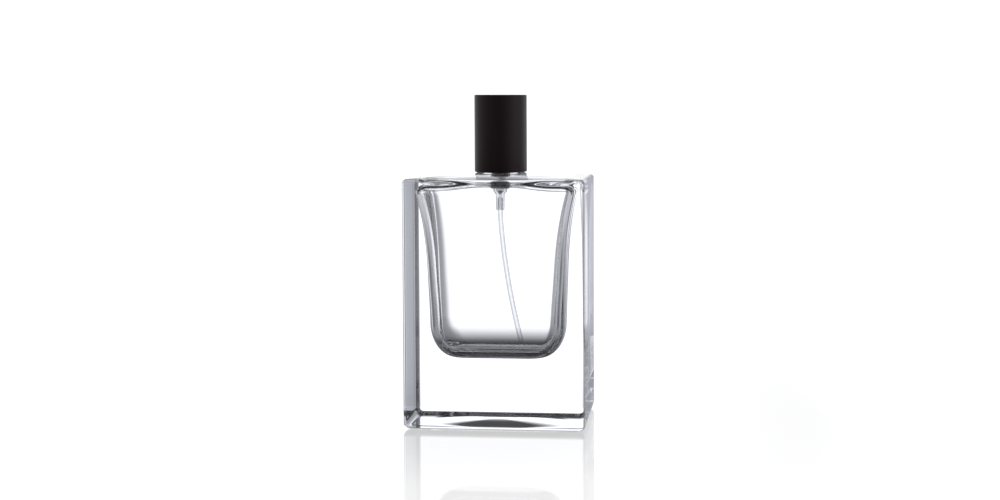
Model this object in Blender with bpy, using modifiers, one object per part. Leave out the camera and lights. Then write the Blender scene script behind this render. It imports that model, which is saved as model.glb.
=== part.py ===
"""Aftershave bottle: heavy-base rectangular glass, crimped fine-mist pump and round pull-off cap.

Frame: metres, +Z up, origin at the centre of the resting face. The front panel and the spray
orifice face -Y. Sizes below are in millimetres. Every round piece is turned about the Z axis,
except the nozzle insert, which is turned about the spray direction.
"""

import math

import bmesh
import bpy
from mathutils import Vector

MM_TO_M = 0.001

# ---------------------------------------------------------------- driving dimensions (mm)
# glass
BODY_W, BODY_D, BODY_H = 60.5, 33.0, 83.0      # width, depth, height at the shoulder edge
HALF_W, HALF_D = BODY_W / 2, BODY_D / 2
EDGE_R = 1.7                                   # vertical edges of the block, in plan
BASE_EDGE_R, TOP_EDGE_R = 2.0, 1.6             # bottom and top edges of the block, in profile
FLOOR_Z = 22.4                                 # top of the heavy base, inside
NECK_R, BORE_R = 5.9, 4.7                      # neck under the finish ring, and its bore
RING_R, RIM_Z = 7.4, 92.2                      # crimp finish ring, and the sealing rim

# pump, actuator and cap
PISTON_Z0 = 89.25                              # underside of the piston's bore
COLLAR_R, COLLAR_Z0, COLLAR_Z1 = 7.95, 88.0, 94.5
TURRET_R, TURRET_Z = 3.7, 100.0                # raised tube of the collar
ACT_R, ACT_Z0, ACT_Z1 = 6.4, 98.4, 109.0       # actuator shell
NOZZLE_Z, NOZZLE_R = 105.9, 1.65
CAP_R, CAP_Z0, CAP_Z1 = 8.82, 84.6, 110.6

# ---------------------------------------------------------------- scene
for old in list(bpy.data.objects):
    bpy.data.objects.remove(old, do_unlink=True)

parts = bpy.data.collections.new("aftershave_bottle")
cutters = bpy.data.collections.new("cutters")
bpy.context.scene.collection.children.link(parts)
bpy.context.scene.collection.children.link(cutters)
cutters.hide_render = True


def empty(name, z=0.0, parent=None):
    """An axis empty; z (mm) is measured from its parent."""
    obj = bpy.data.objects.new(name, None)
    obj.location = (0, 0, z * MM_TO_M)
    obj.empty_display_size = 0.004
    obj.parent = parent
    parts.objects.link(obj)
    return obj


bottle_axis = empty("bottle_axis")
cap_axis = empty("cap_axis", CAP_Z0, bottle_axis)
stem_axis = empty("stem_axis", TURRET_Z, bottle_axis)
piston_axis = empty("piston_axis", PISTON_Z0, bottle_axis)
actuator_axis = empty("actuator_axis", ACT_Z0 - TURRET_Z, stem_axis)


# ---------------------------------------------------------------- materials
def material(name, color, roughness, metallic=0.0, transmission=0.0, ior=1.5):
    mat = bpy.data.materials.new(name)
    mat.use_nodes = True
    inputs = mat.node_tree.nodes["Principled BSDF"].inputs
    inputs["Base Color"].default_value = (*color, 1.0)
    inputs["Roughness"].default_value = roughness
    inputs["Metallic"].default_value = metallic
    inputs["Transmission Weight"].default_value = transmission
    inputs["IOR"].default_value = ior
    return mat


clear_glass = material("clear_glass", color=(0.97, 0.98, 0.98), roughness=0.0,
                       transmission=1.0, ior=1.52)
gunmetal = material("gunmetal_aluminium", color=(0.13, 0.12, 0.125), roughness=0.28, metallic=1.0)
bare_aluminium = material("bare_aluminium", color=(0.75, 0.75, 0.76), roughness=0.3, metallic=1.0)
black_matte = material("black_matte", color=(0.012, 0.011, 0.011), roughness=0.45)
liner_black = material("liner_plastic", color=(0.02, 0.02, 0.02), roughness=0.5)
natural_plastic = material("natural_plastic", color=(0.86, 0.87, 0.86), roughness=0.25,
                           transmission=0.6)
white_plastic = material("white_plastic", color=(0.85, 0.85, 0.83), roughness=0.35)
tube_plastic = material("tube_plastic", color=(0.93, 0.94, 0.94), roughness=0.15,
                        transmission=0.8)
core_plastic = material("core_plastic", color=(0.06, 0.06, 0.062), roughness=0.4)
steel = material("stainless_steel", color=(0.62, 0.61, 0.6), roughness=0.22, metallic=1.0)
rubber = material("seal_rubber", color=(0.6, 0.6, 0.58), roughness=0.6)


# ---------------------------------------------------------------- builders
def hang(obj, parent):
    """Parents a piece to an empty and keeps it where it is."""
    bpy.context.view_layer.update()
    obj.parent = parent
    obj.matrix_parent_inverse = parent.matrix_world.inverted()


def add_mesh(name, mesh, mat, parent):
    mesh.materials.append(mat)
    obj = bpy.data.objects.new(name, mesh)
    parts.objects.link(obj)
    hang(obj, parent)
    return obj


def move_to(obj, collection):
    for current in list(obj.users_collection):
        current.objects.unlink(obj)
    collection.objects.link(obj)


def turned(name, profile, mat, parent, steps=32):
    """A round piece: (radius, height) points in mm, turned about Z with a Screw.
    A profile that starts on the axis is left open there; any other is closed into a ring."""
    verts = [(radius * MM_TO_M, 0, z * MM_TO_M) for radius, z in profile]
    edges = [(i, i + 1) for i in range(len(verts) - 1)]
    if profile[0][0] > 0:
        edges.append((len(verts) - 1, 0))
    mesh = bpy.data.meshes.new(name)
    mesh.from_pydata(verts, edges, [])
    obj = add_mesh(name, mesh, mat, parent)
    screw = obj.modifiers.new("turn", "SCREW")
    screw.axis = "Z"
    screw.angle = math.tau
    screw.steps = screw.render_steps = steps
    screw.use_merge_vertices = True
    screw.merge_threshold = 0.000002
    screw.use_smooth_shade = True
    return obj


def curve_to_mesh(curve_obj):
    """Replaces a curve object by a mesh of it, with the loose end caps welded on."""
    bpy.context.view_layer.update()
    graph = bpy.context.evaluated_depsgraph_get()
    mesh = bpy.data.meshes.new_from_object(curve_obj.evaluated_get(graph), depsgraph=graph)
    bpy.data.objects.remove(curve_obj, do_unlink=True)
    edit = bmesh.new()
    edit.from_mesh(mesh)
    bmesh.ops.remove_doubles(edit, verts=edit.verts, dist=0.000001)
    bmesh.ops.recalc_face_normals(edit, faces=edit.faces)
    edit.to_mesh(mesh)
    edit.free()
    return mesh


def wire(name, points, radius, mat, parent, bevel_resolution, caps=True):
    """A round wire along points (mm). Without caps it is an open-ended skin."""
    curve = bpy.data.curves.new(name, "CURVE")
    curve.dimensions = "3D"
    spline = curve.splines.new("POLY")
    spline.points.add(len(points) - 1)
    for point, place in zip(spline.points, points):
        point.co = (*(value * MM_TO_M for value in place), 1.0)
    curve.bevel_depth = radius * MM_TO_M
    curve.bevel_resolution = bevel_resolution
    curve.use_fill_caps = caps
    curve_obj = bpy.data.objects.new(name, curve)
    parts.objects.link(curve_obj)
    mesh = curve_to_mesh(curve_obj)
    mesh.shade_smooth()
    return add_mesh(name, mesh, mat, parent)


def cut_rod(obj, name, radius, start, end, vertices):
    """Cuts a piece with a hidden cylinder that runs from start to end (mm)."""
    start, end = Vector(start) * MM_TO_M, Vector(end) * MM_TO_M
    bpy.ops.mesh.primitive_cylinder_add(vertices=vertices, radius=radius * MM_TO_M,
                                        depth=(end - start).length)
    cutter = bpy.context.object
    cutter.name = name
    cutter.location = (start + end) / 2
    cutter.rotation_mode = "QUATERNION"
    cutter.rotation_quaternion = (end - start).to_track_quat("Z", "Y")
    move_to(cutter, cutters)
    cutter.hide_render = True
    cutter.display_type = "WIRE"
    boolean = obj.modifiers.new(cutter.name, "BOOLEAN")
    boolean.operation = "DIFFERENCE"
    boolean.solver = "EXACT"
    boolean.object = cutter


# ---------------------------------------------------------------- glass: rings
# Every ring has the same number of points, so rings can be lofted. A ring starts at the -Y end
# of the +X side and runs anticlockwise seen from above.
PER_SIDE_X, PER_SIDE_Y = 6, 10       # points on a side that faces X, and on one that faces Y
PER_CORNER = 5
CIRCLE_PLAN_SHARE = 0.25             # how far circle points lean to the block's plan angles


def arc(center_x, center_y, radius, start, end, z):
    """Corner points from start towards end (degrees); the end point is left to the next side."""
    points = []
    for i in range(PER_CORNER):
        angle = math.radians(start + (end - start) * i / PER_CORNER)
        points.append((center_x + radius * math.cos(angle),
                       center_y + radius * math.sin(angle), z))
    return points


def rounded_rect(half_x, half_y, corner_r, z):
    """A ring round a rectangle with rounded corners."""
    flat_x, flat_y = half_x - corner_r, half_y - corner_r
    ring = []
    # per side: signs of the corner after it, first angle of that corner, side start and end, points
    for sign_x, sign_y, angle, (x0, y0), (x1, y1), count in (
        (1, 1, 0, (half_x, -flat_y), (half_x, flat_y), PER_SIDE_X),
        (-1, 1, 90, (flat_x, half_y), (-flat_x, half_y), PER_SIDE_Y),
        (-1, -1, 180, (-half_x, flat_y), (-half_x, -flat_y), PER_SIDE_X),
        (1, -1, 270, (-flat_x, -half_y), (flat_x, -half_y), PER_SIDE_Y),
    ):
        for i in range(count):
            share = i / count
            ring.append((x0 + (x1 - x0) * share, y0 + (y1 - y0) * share, z))
        ring += arc(sign_x * flat_x, sign_y * flat_y, corner_r, angle, angle + 90, z)
    return ring


def circle_ring(radius, z):
    """A circle, its points nearly evenly spaced but leaning to the plan angles of the block."""
    plan = rounded_rect(HALF_W, HALF_D, EDGE_R, 0)
    first = math.atan2(plan[0][1], plan[0][0])
    ring = []
    for i, (x, y, _) in enumerate(plan):
        even = first + math.tau * i / len(plan)
        lean = (math.atan2(y, x) - even + math.pi) % math.tau - math.pi
        angle = even + CIRCLE_PLAN_SHARE * lean
        ring.append((radius * math.cos(angle), radius * math.sin(angle), z))
    return ring


def mix_rings(first, second, share, z):
    return [(p[0] + (q[0] - p[0]) * share, p[1] + (q[1] - p[1]) * share, z)
            for p, q in zip(first, second)]


# ---------------------------------------------------------------- glass: outside
PUNT_HALF_W, PUNT_HALF_D, PUNT_H = 24.0, 10.8, 1.3   # hollow under the base
PUNT_CORNER_SHARE = 0.7              # its corner radius as a share of its half depth
FOOT_CORNER_R = 0.5                  # plan corners of the resting face
EDGE_R_LOSS = 0.4                    # plan corner radius lost per mm of inset, on rolled edges
CROWN_H = 1.0                        # rise of the shoulder towards the neck

# (radius, height) from the foot of the neck up the outside, over the rim and down the bore
NECK_PROFILE = (
    (9.2, 84.0), (8.2, 84.25), (7.2, 84.8), (6.4, 85.7), (5.98, 86.8), (NECK_R, 87.7),
    (6.3, 88.45), (7.2, 88.75), (RING_R, 89.2), (RING_R, 91.0), (7.15, 91.5), (6.5, 91.95),
    (5.9, RIM_Z), (5.3, RIM_Z), (4.9, 91.95), (BORE_R, 91.5), (BORE_R, 85.5), (4.85, 84.2),
    (5.3, 83.3), (6.2, 82.5))


def punt_ring(share, z):
    return rounded_rect(PUNT_HALF_W * share, PUNT_HALF_D * share,
                        PUNT_HALF_D * PUNT_CORNER_SHARE * share, z)


def block_ring(inset, z):
    return rounded_rect(HALF_W - inset, HALF_D - inset, EDGE_R - inset * EDGE_R_LOSS, z)


def outside_rings():
    rings = []
    for share in (0.25, 0.5, 0.75, 0.92):       # hollow under the base, out to the resting face
        rings.append(punt_ring(share, PUNT_H * math.cos(share * math.pi / 2) ** 1.2))
    rings.append(punt_ring(1.0, 0.0))
    rings.append(rounded_rect(HALF_W - BASE_EDGE_R, HALF_D - BASE_EDGE_R, FOOT_CORNER_R, 0.0))
    for degrees in (30, 60, 90):                # bottom edge
        angle = math.radians(degrees)
        rings.append(block_ring(BASE_EDGE_R * (1 - math.sin(angle)),
                                BASE_EDGE_R * (1 - math.cos(angle))))
    for degrees in (0, 30, 60, 90):             # top edge
        angle = math.radians(degrees)
        rings.append(block_ring(TOP_EDGE_R * (1 - math.cos(angle)),
                                BODY_H - TOP_EDGE_R * (1 - math.sin(angle))))
    shoulder = rings[-1]
    neck_foot = circle_ring(*NECK_PROFILE[0])
    for share in (0.35, 0.7):                   # crowned shoulder
        z = BODY_H + CROWN_H * math.sin(share * math.pi / 2)
        rings.append(mix_rings(shoulder, neck_foot, share, z))
    rings += [circle_ring(radius, z) for radius, z in NECK_PROFILE]
    return rings


# ---------------------------------------------------------------- glass: inside
# (height, value) stations of the hollow. The bow is the slope of the side walls, in plan, where
# they meet the corners, in degrees; the corner radius is in plan too.
HOLLOW_HALF_W = ((FLOOR_Z, 23.0), (36.0, 23.2), (47.0, 23.6), (59.0, 24.1), (68.0, 25.0),
                 (74.0, 26.0), (80.0, 27.2))
HOLLOW_HALF_D = ((FLOOR_Z, 9.9), (36.0, 10.1), (52.0, 10.5), (66.0, 11.1), (80.0, 12.2))
HOLLOW_BOW = ((FLOOR_Z, 24.0), (36.0, 22.0), (48.0, 16.0), (58.0, 12.0), (68.0, 8.0), (80.0, 3.0))
HOLLOW_CORNER_R = ((FLOOR_Z, 5.0), (48.0, 4.4), (80.0, 3.4))

CEILING_Z = 82.3                               # ceiling at the bore, before the arch is added
CEILING_EDGE_Z, CEILING_EDGE_R = 78.2, 2.6     # where the ceiling turns into the walls
ARCH_H, ARCH_FLAT, ARCH_END = 1.35, 4.0, 19.5  # rise under the neck; X where it starts and ends falling
ARCH_FADE = 14.0                               # depth below the ceiling edge where the arch is gone
SIDE_FOOT, FACE_FOOT = (8.6, 11.5), (5.6, 7.4)  # elliptic floor corners: inset, height
FLOOR_RING_OVERLAP, FLOOR_RING_SHARE = 0.5, 0.7  # flat ring of the floor, from the wall's foot


def read_table(table, z):
    """Value at a height inside a (height, value) table, along a cubic with averaged slopes."""
    heights, values = zip(*table)
    last = len(table) - 1
    i = max(k for k in range(last) if heights[k] <= z)

    def rate(k):
        return (values[k + 1] - values[k]) / (heights[k + 1] - heights[k])

    def slope(k):
        if k == 0:
            return rate(0)
        if k == last:
            return rate(last - 1)
        return (rate(k - 1) + rate(k)) / 2

    step = heights[i + 1] - heights[i]
    t = (z - heights[i]) / step
    slope_in, slope_out = slope(i) * step, slope(i + 1) * step
    return ((2 * t ** 3 - 3 * t ** 2 + 1) * values[i] + (t ** 3 - 2 * t ** 2 + t) * slope_in
            + (-2 * t ** 3 + 3 * t ** 2) * values[i + 1] + (t ** 3 - t ** 2) * slope_out)


def hollow_ring(half_x, half_y, corner_r, bow, z):
    """Bowed side walls that meet flat front and back walls through rounded corners."""
    bow_angle = math.radians(bow)
    bow_sin = math.sin(bow_angle)
    corner_r = min(corner_r, half_y * 0.9)
    side_r = (half_y - corner_r * (1 - bow_sin)) / bow_sin
    corner_x = half_x - side_r + (side_r - corner_r) * math.cos(bow_angle)
    corner_y = (side_r - corner_r) * bow_sin

    def side(sign):
        points = []
        for i in range(PER_SIDE_X):
            angle = bow_angle * (2 * i / PER_SIDE_X - 1)
            points.append((sign * (half_x - side_r + side_r * math.cos(angle)),
                           sign * side_r * math.sin(angle), z))
        return points

    def face(sign):
        start_x = sign * corner_x
        return [(start_x - 2 * start_x * i / PER_SIDE_Y, sign * half_y, z)
                for i in range(PER_SIDE_Y)]

    return (side(1) + arc(corner_x, corner_y, corner_r, bow, 90, z)
            + face(1) + arc(-corner_x, corner_y, corner_r, 90, 180 - bow, z)
            + side(-1) + arc(-corner_x, -corner_y, corner_r, 180 + bow, 270, z)
            + face(-1) + arc(corner_x, -corner_y, corner_r, 270, 360 - bow, z))


def hollow_at(station, inset_x=0.0, inset_y=0.0, z=None):
    """The hollow as the tables give it at a station height, inset, and placed at z if given."""
    return hollow_ring(read_table(HOLLOW_HALF_W, station) - inset_x,
                       read_table(HOLLOW_HALF_D, station) - inset_y,
                       read_table(HOLLOW_CORNER_R, station),
                       read_table(HOLLOW_BOW, station), station if z is None else z)


def arched(ring, rise):
    """Lifts a ring of the hollow in the middle of its length, under the neck."""
    points = []
    for x, y, z in ring:
        share = max(0.0, min(1.0, (abs(x) - ARCH_FLAT) / (ARCH_END - ARCH_FLAT)))
        points.append((x, y, z + rise * (0.5 + 0.5 * math.cos(math.pi * share))))
    return points


def foot_inset(z, foot):
    """How far an elliptic floor corner stands in from the wall at height z."""
    inset, height = foot
    drop = max(0.0, (FLOOR_Z + height - z) / height)
    return inset * (1 - math.sqrt(1 - drop * drop))


def inside_rings():
    rings = []
    # ceiling, from the bore to the walls
    bore_mouth = circle_ring(NECK_PROFILE[-1][0], 0)
    ceiling_end = hollow_at(CEILING_EDGE_Z, CEILING_EDGE_R, CEILING_EDGE_R, 0)
    for share in (0.2, 0.4, 0.6, 0.78, 0.92):
        z = CEILING_Z - (CEILING_Z - CEILING_EDGE_Z - CEILING_EDGE_R) * share ** 1.3
        rings.append(arched(mix_rings(bore_mouth, ceiling_end, share, z), ARCH_H * share))
    for degrees in (0, 22, 45, 68, 90):         # where the ceiling turns into the walls
        angle = math.radians(degrees)
        inset = CEILING_EDGE_R * (1 - math.sin(angle))
        z = CEILING_EDGE_Z + CEILING_EDGE_R * math.cos(angle)
        rings.append(arched(hollow_at(CEILING_EDGE_Z, inset, inset, z), ARCH_H))
    for z in (75.0, 71.0, 66.0, 60.0, 53.0, 46.0, 40.0):    # walls
        fade = max(0.0, 1 - (CEILING_EDGE_Z - z) / ARCH_FADE) ** 2
        rings.append(arched(hollow_at(z), ARCH_H * fade))
    for degrees in (0, 15, 30, 43, 55, 66, 76, 85):         # corners between walls and floor
        z = FLOOR_Z + SIDE_FOOT[1] * (1 - math.sin(math.radians(degrees)))
        rings.append(hollow_at(z, foot_inset(z, SIDE_FOOT), foot_inset(z, FACE_FOOT)))
    floor = hollow_at(FLOOR_Z, SIDE_FOOT[0] - FLOOR_RING_OVERLAP,
                      FACE_FOOT[0] - FLOOR_RING_OVERLAP)
    rings.append([(x * FLOOR_RING_SHARE, y * FLOOR_RING_SHARE, FLOOR_Z) for x, y, _ in floor])
    return rings


def glass_mesh():
    """Lofts the rings into one closed skin: from under the base up to the rim, then inside."""
    edit = bmesh.new()
    loops = [[edit.verts.new([value * MM_TO_M for value in point]) for point in ring]
             for ring in outside_rings() + inside_rings()]
    count = len(loops[0])
    for low, high in zip(loops, loops[1:]):
        for i in range(count):
            j = (i + 1) % count
            edit.faces.new((low[i], low[j], high[j], high[i]))
    # a fan closes each end; the first loop is reversed so that its fan faces down
    for loop, z in ((loops[0][::-1], PUNT_H), (loops[-1], FLOOR_Z)):
        hub = edit.verts.new((0, 0, z * MM_TO_M))
        for i in range(count):
            edit.faces.new((loop[i], loop[(i + 1) % count], hub))
    bmesh.ops.triangulate(edit, faces=edit.faces)
    bmesh.ops.recalc_face_normals(edit, faces=edit.faces)
    mesh = bpy.data.meshes.new("glass_bottle")
    edit.to_mesh(mesh)
    edit.free()
    mesh.shade_smooth()
    mesh.set_sharp_from_angle(angle=math.radians(35))
    return mesh


add_mesh("glass_bottle", glass_mesh(), clear_glass, bottle_axis)

# ---------------------------------------------------------------- neck fittings
# All outlines from here on are (radius, height) in mm.
# flat ring on the sealing rim
turned("neck_gasket", ((6.5, 92.65), (6.5, 92.25), (4.9, 92.25), (4.9, 92.65)),
       rubber, bottle_axis, steps=40)

# thin shell over the finish ring, turned in under it
turned("crimp_ferrule", (
    (7.58, 94.2), (7.68, 94.05), (7.68, 88.45), (7.45, 88.12), (6.6, 88.02), (6.6, 88.22),
    (7.32, 88.34), (7.45, 88.6), (7.45, 93.92), (3.46, 93.92), (3.46, 94.2)),
    bare_aluminium, bottle_axis, steps=48)

# visible collar, with the turret on top
turned("outer_collar", (
    (3.55, TURRET_Z), (TURRET_R, TURRET_Z - 0.15), (TURRET_R, 95.05), (3.9, 94.95),
    (4.35, 94.9), (4.45, 94.8), (4.45, COLLAR_Z1), (COLLAR_R - 0.2, COLLAR_Z1),
    (COLLAR_R, COLLAR_Z1 - 0.2), (COLLAR_R, COLLAR_Z0 + 0.1), (COLLAR_R - 0.1, COLLAR_Z0),
    (7.71, COLLAR_Z0), (7.71, 94.24), (3.44, 94.24), (3.44, TURRET_Z)),
    gunmetal, bottle_axis, steps=48)

# flange and guide tube round the stem
turned("pump_closure", (
    (2.9, 97.3), (3.38, 96.9), (3.38, 93.87), (6.9, 93.87), (6.9, 93.4), (2.55, 93.4),
    (2.55, 96.5), (1.6, 96.5), (1.6, 97.3)), white_plastic, bottle_axis)

# ring round the stem, under the top of the closure
turned("stem_seal", ((2.45, 96.44), (2.45, 95.88), (1.53, 95.88), (1.53, 96.44)),
       rubber, bottle_axis)

# ---------------------------------------------------------------- pump housing, ball, dip tube
# flange, cylinder, ball seat and tube socket, then back up the bore
turned("pump_housing", (
    (6.9, 93.34), (6.9, 92.72), (4.3, 92.72), (3.4, 92.2), (3.3, 91.6), (3.3, 80.2),
    (2.3, 79.0), (2.3, 77.6), (1.5, 76.4), (1.42, 71.2), (0.86, 71.2), (0.86, 75.2),
    (0.5, 75.3), (0.5, 76.6), (1.25, 77.6), (1.25, 79.9), (2.5, 79.9), (2.5, 93.34)),
    natural_plastic, bottle_axis)

BALL_R, BALL_Z = 0.85, 77.39                   # the ball rests on the conical seat


def inlet_ball():
    bpy.ops.mesh.primitive_uv_sphere_add(segments=20, ring_count=12, radius=BALL_R * MM_TO_M)
    ball = bpy.context.object
    ball.name = "inlet_ball"
    move_to(ball, parts)
    ball.location = (0, 0, BALL_Z * MM_TO_M)
    ball.data.materials.append(steel)
    ball.data.shade_smooth()
    hang(ball, bottle_axis)


inlet_ball()

TUBE_R, TUBE_WALL = 0.8, 0.3
TUBE_STRAIGHT = (75.0, 73.0, 71.0)             # heights of the straight part, in the socket
TUBE_BEND_Z, TUBE_END = 70.0, (7.6, 0.8, 24.3)  # where the bow starts, and the free end
TUBE_BEND_STEPS = 14
TUBE_LEAN = 0.42                               # linear share of the bow; the rest is quadratic


def dip_points():
    """Straight out of the socket, then an easy bow that ends near the floor."""
    points = [(0, 0, z) for z in TUBE_STRAIGHT]
    end_x, end_y, end_z = TUBE_END
    for i in range(1, TUBE_BEND_STEPS + 1):
        t = i / TUBE_BEND_STEPS
        bow = TUBE_LEAN * t + (1 - TUBE_LEAN) * t * t
        points.append((end_x * bow, end_y * bow, TUBE_BEND_Z + (end_z - TUBE_BEND_Z) * t))
    return points


dip_tube = wire("dip_tube", dip_points(), TUBE_R, tube_plastic, bottle_axis,
                bevel_resolution=2, caps=False)
tube_wall = dip_tube.modifiers.new("wall", "SOLIDIFY")
tube_wall.thickness = TUBE_WALL * MM_TO_M
tube_wall.offset = -1.0
tube_wall.use_even_offset = True
tube_wall.use_rim = True

# ---------------------------------------------------------------- springs
POINTS_PER_TURN = 14
END_TURN_GAP = 0.06                            # gap over the wire in the close turn at each end


def spring(name, mean_r, wire_r, bottom, top, turns, parent):
    """A compression spring with one close turn at each end."""
    end_rise = 2 * wire_r + END_TURN_GAP
    low, high = bottom + wire_r, top - wire_r
    points = []
    for i in range(turns * POINTS_PER_TURN + 1):
        turn = i / POINTS_PER_TURN
        if turn <= 1:
            z = low + end_rise * turn
        elif turn >= turns - 1:
            z = high - end_rise * (turns - turn)
        else:
            z = low + end_rise + (high - low - 2 * end_rise) * (turn - 1) / (turns - 2)
        angle = math.tau * turn
        points.append((mean_r * math.cos(angle), mean_r * math.sin(angle), z))
    wire(name, points, wire_r, steel, parent, bevel_resolution=1)


spring("return_spring", mean_r=1.95, wire_r=0.2, bottom=80.0, top=88.4, turns=8,
       parent=bottle_axis)
spring("precompression_spring", mean_r=2.08, wire_r=0.14, bottom=91.5, top=94.98, turns=6,
       parent=stem_axis)

# ---------------------------------------------------------------- stem, rod and piston
# hollow stem with a flange
turned("stem", (
    (1.3, 103.4), (1.45, 103.2), (1.45, 95.8), (2.3, 95.8), (2.3, 95.1), (1.2, 95.1),
    (1.2, 90.6), (0.6, 90.6), (0.6, 103.4)), white_plastic, stem_axis, steps=28)

# solid rod up into the stem, with a flange below the piston
turned("piston_rod", (
    (0, 94.6), (0.35, 94.6), (0.45, 94.3), (0.45, 89.1), (1.9, 89.1), (1.9, 88.5),
    (1.25, 88.5), (1.15, 86.6), (0.9, 86.4), (0, 86.4)), white_plastic, stem_axis, steps=28)

# sleeve with two lips
turned("piston", (
    (1.75, 92.6), (1.75, 91.4), (2.2, 91.4), (2.44, 91.2), (2.25, 90.7), (2.25, 90.0),
    (2.44, 89.4), (2.2, PISTON_Z0), (0.75, PISTON_Z0), (0.75, 90.0), (1.28, 90.0),
    (1.28, 92.6)), natural_plastic, piston_axis)

# ---------------------------------------------------------------- actuator
NOZZLE_BACK_Y = -3.55                          # open rear end of the insert

# core with a socket for the stem
core = turned("actuator_core", (
    (0, 108.55), (5.85, 108.55), (5.97, 108.4), (5.97, 98.8), (5.0, 98.8), (5.0, 104.1),
    (2.4, 104.1), (2.4, 101.3), (1.5, 101.3), (1.5, 103.6), (0, 103.6)),
    core_plastic, actuator_axis)
# way up from the stem, way forward to the nozzle, and the pocket that holds the nozzle
cut_rod(core, "riser_cut", 0.55, (0, 0, 103.3), (0, 0, NOZZLE_Z + 0.4), vertices=12)
cut_rod(core, "feed_cut", 0.5, (0, 0.3, NOZZLE_Z), (0, -3.6, NOZZLE_Z), vertices=12)
cut_rod(core, "pocket_cut", NOZZLE_R + 0.05, (0, -3.3, NOZZLE_Z), (0, -7.0, NOZZLE_Z),
        vertices=28)

# metal shell with a slightly dished top and a window for the nozzle
shell = turned("actuator_shell", (
    (0, ACT_Z1 - 0.12), (4.6, ACT_Z1 - 0.08), (5.9, ACT_Z1), (6.25, ACT_Z1),
    (ACT_R, ACT_Z1 - 0.15), (ACT_R, ACT_Z0 + 0.08), (ACT_R - 0.08, ACT_Z0), (6.02, ACT_Z0),
    (6.02, 108.6), (0, 108.6)), gunmetal, actuator_axis, steps=48)
cut_rod(shell, "orifice_window", NOZZLE_R + 0.1, (0, -5.0, NOZZLE_Z), (0, -7.5, NOZZLE_Z),
        vertices=28)

# cup with its orifice at the front; the heights of its outline run towards the front
nozzle = turned("nozzle_insert", (
    (0.45, 2.45), (1.35, 2.45), (NOZZLE_R, 2.25), (NOZZLE_R, 0.0), (0.9, 0.0), (0.9, 1.9),
    (0.18, 2.0), (0.18, 2.25)), core_plastic, actuator_axis, steps=24)
nozzle.rotation_euler = (math.radians(90), 0, 0)
nozzle.location = Vector((0, NOZZLE_BACK_Y, NOZZLE_Z)) * MM_TO_M

# ---------------------------------------------------------------- cap
CAP_BORE_R, CAP_CEILING_Z = 8.46, 110.1        # inside of the outer shell

turned("cap_shell", (
    (0, CAP_Z1), (CAP_R - 0.3, CAP_Z1), (CAP_R - 0.08, CAP_Z1 - 0.08), (CAP_R, CAP_Z1 - 0.3),
    (CAP_R, CAP_Z0 + 0.12), (CAP_R - 0.1, CAP_Z0), (CAP_BORE_R, CAP_Z0),
    (CAP_BORE_R, CAP_CEILING_Z), (0, CAP_CEILING_Z)), black_matte, cap_axis, steps=48)

# liner with a low bead round its inside
turned("cap_liner", (
    (0, 110.05), (8.3, 110.05), (8.42, 109.9), (8.42, 85.2), (8.2, 85.2), (8.12, 85.6),
    (8.12, 88.6), (8.02, 88.9), (8.02, 89.5), (8.12, 89.8), (8.12, 109.55), (0, 109.55)),
    liner_black, cap_axis, steps=48)
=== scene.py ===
import math

import bmesh
import bpy
from mathutils import Matrix, Quaternion, Vector


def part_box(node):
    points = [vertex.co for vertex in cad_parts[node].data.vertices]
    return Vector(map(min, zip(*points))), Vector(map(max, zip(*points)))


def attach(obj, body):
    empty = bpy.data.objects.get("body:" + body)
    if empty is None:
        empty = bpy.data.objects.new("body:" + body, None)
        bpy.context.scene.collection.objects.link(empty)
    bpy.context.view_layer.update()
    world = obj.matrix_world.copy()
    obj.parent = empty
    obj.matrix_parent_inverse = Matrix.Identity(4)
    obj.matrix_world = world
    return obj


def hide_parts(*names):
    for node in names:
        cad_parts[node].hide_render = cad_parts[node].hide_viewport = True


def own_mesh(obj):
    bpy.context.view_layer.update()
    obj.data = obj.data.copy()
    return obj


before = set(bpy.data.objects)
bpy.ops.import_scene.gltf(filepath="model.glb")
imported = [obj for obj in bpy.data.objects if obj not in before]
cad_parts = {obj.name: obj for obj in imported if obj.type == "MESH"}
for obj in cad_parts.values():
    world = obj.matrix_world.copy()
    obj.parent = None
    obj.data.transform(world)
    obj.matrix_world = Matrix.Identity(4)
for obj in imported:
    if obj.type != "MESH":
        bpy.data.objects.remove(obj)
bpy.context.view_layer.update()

MM = 0.001
GLASS_LOW, GLASS_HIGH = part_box("glass_bottle")

# ================================================================ small tools
def arc_profile(points, per_arc=5):
    """(r, z) or (r, z, fillet) points of a profile, with every marked corner rounded by an arc."""
    out = []
    n = len(points)
    for i, p in enumerate(points):
        fillet = p[2] if len(p) > 2 else 0.0
        if not fillet or i in (0, n - 1) and p[0] < 1e-6:
            out.append((p[0], p[1]))
            continue
        a, b, c = Vector(points[i - 1][:2]), Vector(p[:2]), Vector(points[(i + 1) % n][:2])
        u, v = (a - b), (c - b)
        lu, lv = u.length, v.length
        u.normalize(), v.normalize()
        half = u.angle(v) / 2
        reach = min(fillet / math.tan(half), lu * 0.49, lv * 0.49)
        radius = reach * math.tan(half)
        centre = b + (u + v).normalized() * (radius / math.sin(half))
        s, e = b + u * reach - centre, b + v * reach - centre
        a0, a1 = math.atan2(s.y, s.x), math.atan2(e.y, e.x)
        d = (a1 - a0 + math.pi) % math.tau - math.pi
        for k in range(per_arc + 1):
            ang = a0 + d * k / per_arc
            out.append((centre.x + radius * math.cos(ang), centre.y + radius * math.sin(ang)))
    return out


def supported(profile, closed, gap=0.12):
    """Adds points close to the ends of long straight runs, so that smooth shading stays true on them."""
    out = []
    n = len(profile)
    for i in range(n):
        out.append(profile[i])
        if i == n - 1 and not closed:
            break
        a, b = Vector(profile[i]), Vector(profile[(i + 1) % n])
        d = (b - a).length
        if d > gap * 6:
            out.append(tuple(a + (b - a) * (gap / d)))
            out.append(tuple(b - (b - a) * (gap / d)))
    return out


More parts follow.
